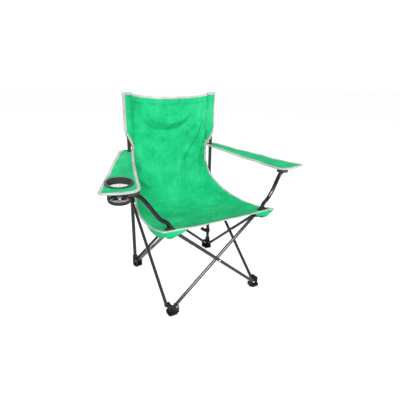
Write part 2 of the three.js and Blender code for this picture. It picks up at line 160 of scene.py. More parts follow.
def cloth_material(name, color, pitch=0.0011, wrinkle=0.5):
    mat, tree, shader = new_material(name)
    uv = node(tree, "ShaderNodeUVMap").outputs[0]
    place = node(tree, "ShaderNodeTexCoord").outputs["Object"]
    threads = weave(tree, uv, pitch)
    broad = noise(tree, place, 9.0, 4.0, 0.6)
    mottle = noise(tree, place, 70.0, 3.0, 0.7)
    fine = noise(tree, place, 700.0, 2.0, 0.6)
    broad_share = maths(tree, "MULTIPLY", broad, 0.70)
    tone = maths(tree, "ADD", broad_share, maths(tree, "MULTIPLY", mottle, 0.30))
    stops = [
        (0.34, rgba(color, 0.74)),
        (0.50, rgba(color, 1.0)),
        (0.66, (color[0] * 1.6 + 0.02, color[1] * 1.14, color[2] * 1.30, 1.0)),
    ]
    base = ramp(tree, tone, stops)
    # Painted shade: the colour is multiplied darker in the low hollows between the weave's threads,
    # down to 0.55 there, mixed in at 0.30.
    mix = node(tree, "ShaderNodeMix", data_type="RGBA", blend_type="MULTIPLY")
    mix.inputs["Factor"].default_value = 0.30
    tree.links.new(base, mix.inputs["A"])
    weave_shade = ramp(tree, threads, [(0.0, grey(0.55)), (1.0, grey(1))])
    tree.links.new(weave_shade, mix.inputs["B"])
    tree.links.new(mix.outputs["Result"], shader.inputs["Base Color"])
    rough = ramp(tree, mottle, [(0.3, grey(0.62)), (0.8, grey(0.82))])
    tree.links.new(rough, shader.inputs["Roughness"])
    shader.inputs["Specular IOR Level"].default_value = 0.12
    shader.inputs["Sheen Weight"].default_value = 0.02
    bump(tree, shader, [(threads, 0.35, 0.0004), (fine, 0.15, 0.0003), (broad, wrinkle, 0.010)])
    return mat


def plain_material(name, color, rough, grain, metal=0.0, coat=0.0, wear=0.0):
    """Moulded plastic or painted steel: fine grain, uneven gloss and slightly worn edges."""
    mat, tree, shader = new_material(name)
    place = node(tree, "ShaderNodeTexCoord").outputs["Object"]
    smudge = noise(tree, place, 35.0, 4.0, 0.6)
    shade = noise(tree, place, 12.0, 3.0, 0.5)
    base = ramp(tree, shade, [(0.3, rgba(color, 0.85)), (0.7, rgba(color, 1.15))])
    if wear:
        geometry = node(tree, "ShaderNodeNewGeometry").outputs["Pointiness"]
        edge = ramp(tree, geometry, [(0.52, grey(0)), (0.60, grey(wear))])
        mix = node(tree, "ShaderNodeMix", data_type="RGBA", blend_type="MIX")
        tree.links.new(edge, mix.inputs["Factor"])
        tree.links.new(base, mix.inputs["A"])
        mix.inputs["B"].default_value = rgba([min(1.0, c + 0.12) for c in color])
        base = mix.outputs["Result"]
    tree.links.new(base, shader.inputs["Base Color"])
    low, high = rough
    gloss = ramp(tree, smudge, [(0.3, grey(low)), (0.75, grey(high))])
    tree.links.new(gloss, shader.inputs["Roughness"])
    shader.inputs["Metallic"].default_value = metal
    if not metal:
        shader.inputs["Specular IOR Level"].default_value = 0.30
    shader.inputs["Coat Weight"].default_value = coat
    shader.inputs["Coat Roughness"].default_value = 0.12
    strength, scale = grain
    bump(tree, shader, [(noise(tree, place, scale, 2.0, 0.5), strength, 0.0004)])
    return mat


GREEN = (0.010, 0.560, 0.212)
fabric = cloth_material("green_fabric", GREEN)
binding_cloth = cloth_material("binding", (0.56, 0.58, 0.55), 0.0016, 0.15)
thread = cloth_material("thread", (0.62, 0.70, 0.63), 0.0006, 0.0)
dark_thread = cloth_material("dark_thread", (0.05, 0.16, 0.09), 0.0006, 0.0)
net_cloth = cloth_material("net", (0.030, 0.032, 0.034), 0.0009, 0.0)
webbing = cloth_material("webbing", (0.030, 0.050, 0.040), 0.0014, 0.1)
tube_paint = plain_material(
    "tube_paint", (0.003, 0.0033, 0.0038), (0.14, 0.26), (0.05, 900.0), coat=0.5, wear=0.25
)
plastic = plain_material(
    "black_plastic", (0.003, 0.003, 0.0033), (0.36, 0.55), (0.25, 700.0), wear=0.35
)
steel = plain_material("rivet_steel", (0.62, 0.63, 0.64), (0.22, 0.42), (0.10, 500.0), metal=1.0)

# ---- CAD nodes that stay


def finish_node(name, mat, bevel=0.0006):
    obj = nodes[name]
    obj.data.materials.clear()
    obj.data.materials.append(mat)
    if bevel:
        mod = obj.modifiers.new("soft_edges", "BEVEL")
        mod.width = bevel
        mod.segments = 2
        mod.limit_method = "ANGLE"
        mod.angle_limit = math.radians(40)


PLASTIC_NODES = ("foot", "slider", "front_bracket", "arm_bracket", "pole_cap", "cup_ring")

for name in nodes:
    if name.startswith(("leg_tube", "back_pole", "arm_post")):
        finish_node(name, tube_paint, 0.0)
    elif name.startswith("rivet"):
        finish_node(name, steel, 0.0004)
    elif name.startswith(PLASTIC_NODES):
        finish_node(name, plastic)
    elif name == "cup_hoop":
        finish_node(name, plastic, 0.0)

# ---- mesh helpers


def mesh_object(name, points, faces, mats, uvs=None, smooth=True):
    mesh = bpy.data.meshes.new(name)
    mesh.from_pydata([tuple(p) for p in points], [], faces)
    for mat in mats:
        mesh.materials.append(mat)
    if uvs is not None:
        layer = mesh.uv_layers.new(name="UVMap")
        for loop in mesh.loops:
            layer.data[loop.index].uv = uvs[loop.vertex_index]
    mesh.polygons.foreach_set("use_smooth", [smooth] * len(mesh.polygons))
    mesh.update()
    obj = bpy.data.objects.new(name, mesh)
    bpy.context.scene.collection.objects.link(obj)
    return obj


def grid_faces(rows, columns, close_columns=False):
    faces = []
    last = columns if close_columns else columns - 1
    for i in range(rows - 1):
        for j in range(last):
            k = (j + 1) % columns
            a, b = i * columns, (i + 1) * columns
            faces.append((a + j, b + j, b + k, a + k))
    return faces


def unit(v):
    return v / np.maximum(np.linalg.norm(v, axis=-1, keepdims=True), 1e-12)


def applied(obj):
    """Replaces an object's mesh by the one that its modifiers make."""
    graph = bpy.context.evaluated_depsgraph_get()
    mesh = bpy.data.meshes.new_from_object(obj.evaluated_get(graph))
    obj.modifiers.clear()
    obj.data = mesh
    return obj


def thickened(obj, thickness, offset=0.0, rounds=0, even=False):
    """Subdivides a sheet a number of rounds and gives it a thickness."""
    if rounds:
        smooth = obj.modifiers.new("smooth", "SUBSURF")
        smooth.levels = smooth.render_levels = rounds
    shell = obj.modifiers.new("thickness", "SOLIDIFY")
    shell.thickness = thickness
    shell.offset = offset
    shell.use_even_offset = even
    return applied(obj)


def join(name, parts):
    """One object from several, keeping their materials."""
    bm = bmesh.new()
    mats = []
    for part in parts:
        offset = []
        for mat in part.data.materials:
            if mat not in mats:
                mats.append(mat)
            offset.append(mats.index(mat))
        first = len(bm.faces)
        bm.from_mesh(part.data)
        bm.faces.ensure_lookup_table()
        for face in bm.faces[first:]:
            face.material_index = offset[face.material_index]
    mesh = bpy.data.meshes.new(name)
    bm.to_mesh(mesh)
    bm.free()
    for mat in mats:
        mesh.materials.append(mat)
    for part in parts:
        bpy.data.objects.remove(part)
    obj = bpy.data.objects.new(name, mesh)
    bpy.context.scene.collection.objects.link(obj)
    return obj


def length_along(points):
    """Distance along a line of points, from the first one to each."""
    return np.r_[0, np.cumsum(np.linalg.norm(np.diff(points, axis=0), axis=1))]


def interpolated(points, known, at):
    return np.stack([np.interp(at, known, column) for column in points.T], axis=1)


def resample(points, step):
    points = np.asarray(points, float)
    lengths = length_along(points)
    count = max(2, int(round(lengths[-1] / step)) + 1)
    return interpolated(points, lengths, np.linspace(0, lengths[-1], count))


def smoothed(points, rounds=2):
    points = np.array(points, float)
    for _ in range(rounds):
        points[1:-1] = (points[:-2] + 2 * points[1:-1] + points[2:]) / 4
    return points


def sweep(name, path, side, mat, section):
    """A band along a path: section is [(across, out)] in metres, across runs along side."""
    path, side = np.asarray(path), unit(np.asarray(side))
    way = unit(np.gradient(path, axis=0))
    side = unit(side - way * np.sum(side * way, axis=1, keepdims=True))
    out = unit(np.cross(way, side))
    section = np.asarray(section)
    rings = path[:, None] + side[:, None] * section[None, :, :1]
    rings = rings + out[:, None] * section[None, :, 1:]
    count, corners = len(path), len(section)
    faces = grid_faces(count, corners, True)
    faces.append(tuple(range(corners)))
    faces.append(tuple(reversed(range((count - 1) * corners, count * corners))))
    uvs = [(a, r) for r in length_along(path) for a in length_along(section)]
    obj = mesh_object(name, rings.reshape(-1, 3), faces, [mat], uvs)
    return face_outwards(obj)


def face_outwards(obj):
    bm = bmesh.new()
    bm.from_mesh(obj.data)
    bmesh.ops.recalc_face_normals(bm, faces=bm.faces)
    bm.to_mesh(obj.data)
    bm.free()
    return obj


def rounded_section(inner, outer, thick, steps=4):
    """A flat band's section with round edges, from -outer to +inner across."""
    r = thick / 2
    points = []
    for k in range(steps + 1):
        angle = -math.pi / 2 + math.pi * k / steps
        points.append((inner - r + r * math.cos(angle), r * math.sin(angle)))
    for k in range(steps + 1):
        angle = math.pi / 2 + math.pi * k / steps
        points.append((-outer + r + r * math.cos(angle), r * math.sin(angle)))
    return points


BINDING_WIDTH = 0.0085
BINDING_THICKNESS = 0.0034
STITCH_INSET = BINDING_WIDTH - 0.002  # from the cloth's edge
HEM_DEPTH = 0.030


def binding(name, edge, inward):
    """Tape folded over a fabric edge."""
    section = rounded_section(BINDING_WIDTH, 0.0012, BINDING_THICKNESS)
    return sweep(name, edge, inward, binding_cloth, section)


STITCH = 0.0042
STITCH_GAP = 0.0022
STITCH_LIFT = 0.0008  # of a thread's middle over the middle of a thin cloth
THREAD_RADIUS = 0.00045
THREAD_CORNERS = 5


def stitches(name, path, normal, mat, lift=STITCH_LIFT):
    """A row of short threads that dip into the fabric at both ends."""
    path = resample(path, STITCH + STITCH_GAP)
    normal = np.asarray(normal, float)
    if normal.ndim == 1:
        normal = np.repeat(normal[None], len(path), axis=0)
    else:
        at = np.linspace(0, len(normal) - 1, len(path))
        normal = interpolated(normal, range(len(normal)), at)
    points, faces = [], []
    for i in range(len(path) - 1):
        way = unit(path[i + 1] - path[i])
        out = unit(normal[i])
        side = np.cross(way, out)
        start = len(points)
        for along, rise in ((0, -0.6), (0.3, 0.4), (0.7, 0.4), (1, -0.6)):
            middle = path[i] + way * STITCH * along + out * (lift + THREAD_RADIUS * rise)
            for k in range(THREAD_CORNERS):
                angle = 2 * math.pi * k / THREAD_CORNERS
                offset = side * math.cos(angle) + out * math.sin(angle)
                points.append(middle + offset * THREAD_RADIUS)
        ends = range(THREAD_CORNERS)
        for first in range(start, start + 3 * THREAD_CORNERS, THREAD_CORNERS):
            for k in ends:
                a, b = first + k, first + (k + 1) % THREAD_CORNERS
                faces.append((a, b, b + THREAD_CORNERS, a + THREAD_CORNERS))
        faces.append(tuple(start + k for k in reversed(ends)))
        faces.append(tuple(start + 3 * THREAD_CORNERS + k for k in ends))
    return mesh_object(name, points, faces, [mat], [(0, 0)] * len(points))


def both_faces(parts, name, path, normal, mat, lift=STITCH_LIFT):
    """Adds the same row of stitches on the two faces of a cloth."""
    for sign in (1, -1):
        parts.append(stitches(f"{name}_{sign}", path, np.asarray(normal) * sign, mat, lift))


# ---- sling shape

# Rows of the sling from its top edge to its front edge: the middle of the cloth as (y, z) and its
# side edge as (x, y, z). The poles stand at y = HALF and the front corners at y = -HALF.
SEAM = HALF - 0.0215  # where the pole sleeves meet the sheet
SLING_ROWS = [
    ((0.224, 0.790), (SEAM, 0.209, 0.805)),
    ((0.238, 0.700), (SEAM, 0.213, 0.712)),
    ((0.244, 0.608), (SEAM + 0.002, 0.216, 0.616)),
    ((0.243, 0.535), (0.192, 0.223, 0.552)),
    ((0.231, 0.462), (0.193, 0.224, 0.488)),
    ((0.196, 0.390), (0.202, 0.196, 0.428)),
    ((0.140, 0.343), (0.214, 0.140, 0.386)),
    ((0.070, 0.322), (0.226, 0.070, 0.358)),
    ((-0.040, 0.326), (0.238, -0.036, 0.344)),
    ((-0.150, 0.346), (0.245, -0.146, 0.350)),
    ((-0.233, 0.364), (0.246, -0.238, 0.371)),
]
LEFT_SLACK = 0.014  # the left edge of the seat bows further out
SLING_SAG_POWER = 2.4
SLING_COLUMNS = 61
SLING_LINES = 121
SHEET_THICKNESS = 0.0014
ACROSS = np.linspace(-1, 1, SLING_COLUMNS)  # from the left edge to the right one


def spline(points, count):
    """A smooth curve through points, as count points spaced evenly along it."""
    points = np.asarray(points, float)
    ends = np.vstack([2 * points[0] - points[1], points, 2 * points[-1] - points[-2]])
    fine = []
    for i in range(1, len(ends) - 2):
        a, b, c, d = ends[i - 1 : i + 3]
        for t in np.linspace(0, 1, 24, endpoint=False):
            square, cube = 2 * a - 5 * b + 4 * c - d, 3 * b - a - 3 * c + d
            fine.append(0.5 * (2 * b + (c - a) * t + square * t**2 + cube * t**3))
    fine.append(points[-1])
    fine = np.array(fine)
    lengths = length_along(fine)
    return interpolated(fine, lengths, np.linspace(0, lengths[-1], count))


def sling_grid():
    rows = spline([[*middle, *edge] for middle, edge in SLING_ROWS], SLING_LINES)
    bend = np.abs(ACROSS) ** SLING_SAG_POWER
    grid = np.zeros((SLING_LINES, SLING_COLUMNS, 3))
    grid[..., 0] = rows[:, 2:3] * ACROSS
    reach = np.clip((0.17 - rows[:, 3:4]) / 0.40, 0, 1)
    grid[..., 0] -= LEFT_SLACK * np.sin(math.pi * reach) * np.clip(-ACROSS, 0, 1) ** 3
    grid[..., 1] = rows[:, 0:1] * (1 - bend) + rows[:, 3:4] * bend
    grid[..., 2] = rows[:, 1:2] * (1 - bend) + rows[:, 4:5] * bend
    return grid


def settle_cloth(name, grid, pins, frames, slack):
    """Lets a sheet hang between its pinned points; pins is one weight for each point."""
    rows, columns = grid.shape[:2]
    obj = mesh_object(name, grid.reshape(-1, 3), grid_faces(rows, columns), [])
    group = obj.vertex_groups.new(name="pin")
    for index, weight in enumerate(pins.reshape(-1)):
        if weight > 0:
            group.add([index], float(weight), "REPLACE")
    cloth = obj.modifiers.new("cloth", "CLOTH")
    settings = cloth.settings
    settings.quality = 7
    settings.mass = 0.12
    settings.tension_stiffness = 60
    settings.compression_stiffness = 12
    settings.shear_stiffness = 12
    settings.bending_stiffness = 0.35
    settings.air_damping = 3
    settings.vertex_group_mass = "pin"
    settings.pin_stiffness = 1.0
    settings.shrink_min = -slack
    cloth.collision_settings.use_collision = False
    cloth.collision_settings.use_self_collision = False
    cloth.point_cache.frame_start = 1
    cloth.point_cache.frame_end = frames
    scene = bpy.context.scene
    for number in range(1, frames + 1):
        scene.frame_set(number)
    graph = bpy.context.evaluated_depsgraph_get()
    settled = bpy.data.meshes.new_from_object(obj.evaluated_get(graph))
    points = np.empty(len(settled.vertices) * 3)
    settled.vertices.foreach_get("co", points)
    bpy.data.objects.remove(obj)
    scene.frame_set(1)
    return points.reshape(rows, columns, 3)


def capped(grid, start, limit):
    """Keeps each point of grid within limit of where it started."""
    move = grid - start
    size = np.linalg.norm(move, axis=-1, keepdims=True)
    return start + move * np.minimum(1, limit / np.maximum(size, 1e-9))


# Folds of the slack cloth as (x, z) lines on the back, each with its width and its height.
# Positive ones stand towards the sitter. They run from the sleeves down to where the seat pulls.
FOLD_STRENGTH = 2.1
FOLDS = [
    ([(-0.17, 0.74), (-0.12, 0.67), (-0.03, 0.64), (0.06, 0.66), (0.13, 0.74)], 0.016, -0.0085),
    ([(-0.15, 0.77), (-0.09, 0.70), (-0.01, 0.68), (0.08, 0.70), (0.12, 0.77)], 0.017, 0.0075),
    ([(-0.16, 0.66), (-0.09, 0.60), (0.00, 0.59), (0.07, 0.61), (0.15, 0.67)], 0.014, -0.0035),
    ([(0.17, 0.74), (0.165, 0.66), (0.13, 0.58), (0.09, 0.51), (0.07, 0.40)], 0.013, -0.0065),
    ([(0.15, 0.72), (0.14, 0.65), (0.10, 0.57), (0.05, 0.50), (0.03, 0.41)], 0.012, 0.0050),
    ([(0.175, 0.63), (0.15, 0.55), (0.14, 0.46)], 0.009, 0.0040),
    ([(-0.16, 0.60), (-0.10, 0.53), (-0.04, 0.43)], 0.010, -0.0055),
    ([(-0.17, 0.57), (-0.13, 0.50), (-0.09, 0.43)], 0.010, 0.0050),
    ([(-0.13, 0.61), (-0.06, 0.54), (0.00, 0.44)], 0.011, 0.0040),
    ([(-0.19, 0.49), (-0.14, 0.45), (-0.08, 0.41)], 0.008, -0.0060),
    ([(-0.19, 0.46), (-0.15, 0.42), (-0.10, 0.385)], 0.008, 0.0045),
    ([(-0.19, 0.44), (-0.16, 0.40), (-0.12, 0.365)], 0.007, -0.0050),
    ([(0.19, 0.51), (0.16, 0.44), (0.11, 0.385)], 0.009, -0.0050),
    ([(0.19, 0.47), (0.17, 0.42), (0.13, 0.37)], 0.009, 0.0042),
    ([(0.09, 0.77), (0.10, 0.72), (0.08, 0.68)], 0.007, -0.0040),
    ([(0.12, 0.76), (0.115, 0.71), (0.12, 0.66)], 0.007, 0.0035),
    ([(-0.04, 0.60), (0.01, 0.52), (0.03, 0.42)], 0.008, -0.0028),
]


def fold_heights(grid):
    """Sums the folds over a grid of points, by each point's distance from a fold's line."""
    total = np.zeros(grid.shape[:2])
    for line, width, height in FOLDS:
        path = spline(line, 40)
        gap_x = grid[..., 0][..., None] - path[:, 0]
        gap_z = grid[..., 2][..., None] - path[:, 1]
        gap = np.hypot(gap_x, gap_z)
        near = gap.argmin(axis=-1)
        distance = gap.min(axis=-1)
        fade = np.sin(math.pi * np.clip((near + 2) / 43, 0, 1)) ** 0.6
        total += FOLD_STRENGTH * height * fade * np.exp(-np.abs(distance / (0.8 * width)) ** 1.25)
    return total


def crumple(grid, size, seed):
    """Ridged noise of a height of about 1: sharp little creases of a cloth that was packed."""
    out = np.empty(grid.shape[:2])
    for i in range(grid.shape[0]):
        for j in range(grid.shape[1]):
            p = Vector(grid[i, j]) / size + Vector((seed, 2.3 * seed, 0.7))
            out[i, j] = 1 - 2.4 * abs(bpy_noise.noise(p)) - 0.9 * abs(bpy_noise.noise(p * 2.1))
    return out


def sling_folds(grid):
    """How far the cloth stands off its smooth shape, along its normal."""
    on_back = np.clip((grid[..., 2] - 0.36) / 0.04, 0, 1) * (grid[..., 1] > 0.10)
    edge_fade = np.clip((1 - np.abs(ACROSS)) / 0.06, 0, 1)[None, :] ** 0.8
    rows = np.arange(SLING_LINES)
    row_fade = np.clip(np.minimum(rows / 4, rows[::-1] / 8), 0, 1)[:, None]
    shift = fold_heights(grid) * on_back
    shift += 0.0044 * crumple(grid, 0.080, 3.1) * (0.45 + 0.55 * on_back)
    shift += 0.0024 * crumple(grid, 0.032, 7.7)
    return shift * edge_fade * row_fade


SLEEVED_ABOVE = 0.60  # the pole sleeves hold the side edges above this height
SETTLE_FRAMES = 28
SETTLE_SLACK = 0.018  # how much longer the cloth is than its rest shape, as a share
SETTLE_LIMIT = 0.016  # how far the settling may move a point

rest_grid = sling_grid()
pins = np.zeros((SLING_LINES, SLING_COLUMNS))
pins[rest_grid[..., 2] > SLEEVED_ABOVE] = 0.02
pins[rest_grid[:, 0, 2] > SLEEVED_ABOVE, 0] = 1
pins[:, -1] = pins[:, 0]
corner_zone = (np.abs(rest_grid[..., 0]) > HALF - 0.030) & (rest_grid[..., 1] < -HALF + 0.028)
pins[corner_zone] = 1
rear_zone = (np.abs(rest_grid[..., 0]) > 0.19) & (np.abs(rest_grid[..., 1] - 0.17) < 0.03)
rear_zone &= rest_grid[..., 2] < 0.45
pins[rear_zone & (np.abs(ACROSS) > 0.97)[None, :]] = 0.6
hung = settle_cloth("sling_sim", rest_grid, pins, SETTLE_FRAMES, SETTLE_SLACK)
# The settled shape fades into the rest shape towards the side edges and the two ends.
from_edge = np.clip((1 - np.abs(ACROSS)) / 0.25, 0, 1)[None, :]
lines = np.arange(SLING_LINES)
from_ends = np.clip(np.minimum(lines, lines[::-1]) / 12, 0, 1)[:, None]
hold = (from_edge**2 * (3 - 2 * from_edge) * from_ends)[..., None]
hung = rest_grid + hold * (capped(hung, rest_grid, SETTLE_LIMIT) - rest_grid)

row_way = unit(np.gradient(hung, axis=0))
column_way = unit(np.gradient(hung, axis=1))
sling_normal = unit(np.cross(row_way, column_way))
hung = hung + sling_normal * sling_folds(hung)[..., None]

# ---- sling pieces

run_along = length_along(rest_grid[:, SLING_COLUMNS // 2])
sheet_uv = [(0.23 * u, s) for s in run_along for u in ACROSS]
HOLE_REACH = 0.007  # past a hole's radius, where rim points still move onto the circle


def cut_hole(obj, x, y, radius, high=1.0):
    """Opens a round hole about an upright axis in a sheet, and moves its rim onto the circle."""
    bm = bmesh.new()
    bm.from_mesh(obj.data)

    def gap(point):
        return math.hypot(point.x - x, point.y - y)

    inside = []
    for face in bm.faces:
        middle = face.calc_center_median()
        if gap(middle) < radius and middle.z < high:
            inside.append(face)
    bmesh.ops.delete(bm, geom=inside, context="FACES")
    for v in bm.verts:
        if v.is_boundary and 0 < gap(v.co) < radius + HOLE_REACH and v.co.z < high:
            share = radius / gap(v.co)
            v.co.x, v.co.y = x + (v.co.x - x) * share, y + (v.co.y - y) * share
    bm.to_mesh(obj.data)
    bm.free()


COLLAR = 0.0124  # hole in the seat for the socket of a front bracket
BELOW_BACK = 0.42  # the collar holes cut only what is lower than this


def whole_sheet(name, grid, uvs):
    obj = mesh_object(name, grid.reshape(-1, 3), grid_faces(*grid.shape[:2]), [fabric], uvs)
    for sign in (-1, 1):
        cut_hole(obj, sign * HALF, -HALF, COLLAR, high=BELOW_BACK)
    return thickened(obj, SHEET_THICKNESS, rounds=1)


def split_by(obj, key, limits, names):
    """Cuts one finished mesh into bands by a key of each face's middle, keeping its shading."""
    mesh = obj.data
    normals = np.empty(len(mesh.vertices) * 3)
    mesh.vertices.foreach_get("normal", normals)
    normals = normals.reshape(-1, 3)
    layer = mesh.uv_layers[0].data
    faces = [[] for _ in names]
    for polygon in mesh.polygons:
        band = int(np.searchsorted(limits, key(layer, polygon)))
        faces[band].append(polygon)
    made = []
    for name, band in zip(names, faces):
        used = sorted({v for polygon in band for v in polygon.vertices})
        number = {v: i for i, v in enumerate(used)}
        points = [mesh.vertices[v].co[:] for v in used]
        piece = mesh_object(name, points, [[number[v] for v in p.vertices] for p in band], [fabric])
        uv = piece.data.uv_layers.new(name="UVMap")
        at = 0
        for polygon in band:
            for loop in polygon.loop_indices:
                uv.data[at].uv = layer[loop].uv
                at += 1
        bm = bmesh.new()
        bm.from_mesh(piece.data)
        bmesh.ops.holes_fill(bm, edges=[e for e in bm.edges if e.is_boundary], sides=0)
        bm.to_mesh(piece.data)
        bm.free()
        piece.data.normals_split_custom_set_from_vertices([tuple(normals[v]) for v in used])
        made.append(piece)
    bpy.data.objects.remove(obj)
    return made


def uv_row(layer, polygon):
    return sum(layer[i].uv[1] for i in polygon.loop_indices) / polygon.loop_total


def row_at(test):
    middle = hung[:, SLING_COLUMNS // 2]
    return next(i for i in range(SLING_LINES) if test(middle[i]))


back_row = row_at(lambda p: p[2] < BACK_BOTTOM[2] + 0.012)
crease_row = row_at(lambda p: p[1] < SEAT_CREASE_Y)
limits = [run_along[back_row], run_along[crease_row]]
sling_names = ["sling_back_sheet", "seat_rear_sheet", "seat_front_sheet"]
sheets = split_by(whole_sheet("sling", hung, sheet_uv), uv_row, limits, sling_names)
row_bands = [(0, back_row), (back_row, crease_row), (crease_row, SLING_LINES - 1)]


def edge_band(first, last, column):
    """The side edge between two rows, with the inward direction and the cloth's normal."""
    step = 1 if column == 0 else -1
    edge = hung[first : last + 1, column]
    inward = hung[first : last + 1, column + 3 * step] - edge
    return edge, inward, sling_normal[first : last + 1, column]


def along_edge(path, inward, distance):
    return path + unit(inward) * distance


sleeve_row = row_at(lambda p: p[2] < 0.575)
trims = []
for name, (first, last) in zip(sling_names, row_bands):
    parts = []
    for column in (0, SLING_COLUMNS - 1):
        start = max(first, sleeve_row - 1) if first == 0 else first
        edge, inward, normal = edge_band(start, last, column)
        edge = smoothed(edge, 2)
        parts.append(binding(f"{name}_binding_{column}", edge, inward))
        path = along_edge(edge, inward, STITCH_INSET)
        both_faces(parts, f"{name}_stitch_{column}", path, normal, thread, BINDING_THICKNESS / 2)
    trims.append(parts)

# Top and front edges: binding with its stitches, and the stitches of a folded hem further in.
for row, step, parts in ((0, 1, trims[0]), (SLING_LINES - 1, -1, trims[2])):
    edge = smoothed(hung[row], 1)
    inward = hung[row + 3 * step] - hung[row]
    parts.append(binding(f"edge_binding_{row}", edge, inward))
    path = along_edge(edge, inward, STITCH_INSET)
    both_faces(parts, f"edge_stitch_{row}", path, sling_normal[row], thread, BINDING_THICKNESS / 2)
    hem = along_edge(edge, inward, HEM_DEPTH)
    both_faces(parts, f"hem_stitch_{row}", hem, sling_normal[row], dark_thread)

zones = {
    "sling_back_sheet": ("rear_left_corner", "sling_back", SEAM),
    "seat_rear_sheet": ("seat_rear", "sling_seat_rear", (SEAM + HALF) / 2),
    "seat_front_sheet": ("seat_front", "sling_seat_front", HALF),
}
for sheet, parts in zip(sheets, trims):
    body, cad_node, held_at = zones[sheet.name]
    trim = join(sheet.name.replace("sheet", "trim"), parts)
    for piece in (sheet, trim):
        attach(piece, body)
        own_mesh(piece)
    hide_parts(cad_node)

# ---- pole sleeves

SLEEVE_FIN = 0.0175  # flat outer edge past the pole's axis
SLEEVE_RADIUS = POLE_RADIUS + 0.0028
SLEEVE_TOP = POLE_TOP + 0.0195
SLEEVE_CLOSE = 0.016  # height over which the top closes above the pole's cap
SLEEVE_LOW_INNER = 0.572
SLEEVE_LOW_OUTER = 0.655


def sleeve_half(s):
    """Half thickness of the sleeve at a distance s from the pole's axis, outwards positive."""
    turn = 0.78 * SLEEVE_RADIUS
    if s > turn:
        start = math.sqrt(SLEEVE_RADIUS**2 - turn**2)
        fall = max(0.0, 1 - (s - turn) / (0.0138 - turn))
        return 0.0008 + (start - 0.0008) * fall**1.5
    if s >= 0:
        return math.sqrt(SLEEVE_RADIUS**2 - s**2)
    inner = HALF - SEAM
    return SLEEVE_RADIUS * math.cos(0.5 * math.pi * min(1.0, -s / inner)) ** 0.85 + 0.0008


def sleeve_bottom(share):
    return SLEEVE_LOW_INNER + (SLEEVE_LOW_OUTER - SLEEVE_LOW_INNER) * share**1.2


def sleeve_depth(s, z):
    """Half thickness at s, pressed flat towards the sewn top."""
    above = max(0.0, (z - (SLEEVE_TOP - SLEEVE_CLOSE)) / SLEEVE_CLOSE)
    return 0.0008 + (sleeve_half(s) - 0.0008) * math.sqrt(max(0.0, 1 - above**2))


SLEEVE_TAPE = 0.0024  # how far the binding stands off the sleeve
TAPE_ROWS, TAPE_COLUMNS = 60, 9


def sleeve_tapes(side):
    """Binding over the sleeve's outer edge and over its sewn top, following the cloth's surface."""
    sign = SIGN[side]
    inner = HALF - SEAM
    width = BINDING_WIDTH
    made = []
    for tag in ("edge", "top"):
        for face in (-1, 1):
            grid = []
            for along in np.linspace(0, 1, TAPE_ROWS):
                row = []
                for across in np.linspace(0, 1, TAPE_COLUMNS):
                    over = 0.0012 * max(0.0, across - 0.9) / 0.1
                    if tag == "edge":
                        s = SLEEVE_FIN - width * (1 - across) + over
                        share = min(1.0, (s + inner) / (inner + SLEEVE_FIN))
                        z = SLEEVE_TOP + 0.001 + (sleeve_bottom(share) - SLEEVE_TOP - 0.001) * along
                    else:
                        s = -inner - 0.002 + (inner + 0.003 + SLEEVE_FIN) * along
                        z = SLEEVE_TOP - width * (1 - across) + over
                    on_sleeve = min(max(s, -inner), SLEEVE_FIN)
                    depth = sleeve_depth(on_sleeve, min(z, SLEEVE_TOP)) + SLEEVE_TAPE
                    depth *= 1 - over / 0.0014
                    row.append((sign * (HALF + s), HALF + face * depth, z))
                grid.append(row)
            grid = np.array(grid)
            name = f"sleeve_tape_{tag}_{side}_{face}"
            points = grid.reshape(-1, 3)
            uvs = [(p[0], p[2]) for p in points]
            faces = grid_faces(TAPE_ROWS, TAPE_COLUMNS)
            tape = mesh_object(name, points, faces, [binding_cloth], uvs)
            made.append(thickened(tape, 0.0007))
    return made


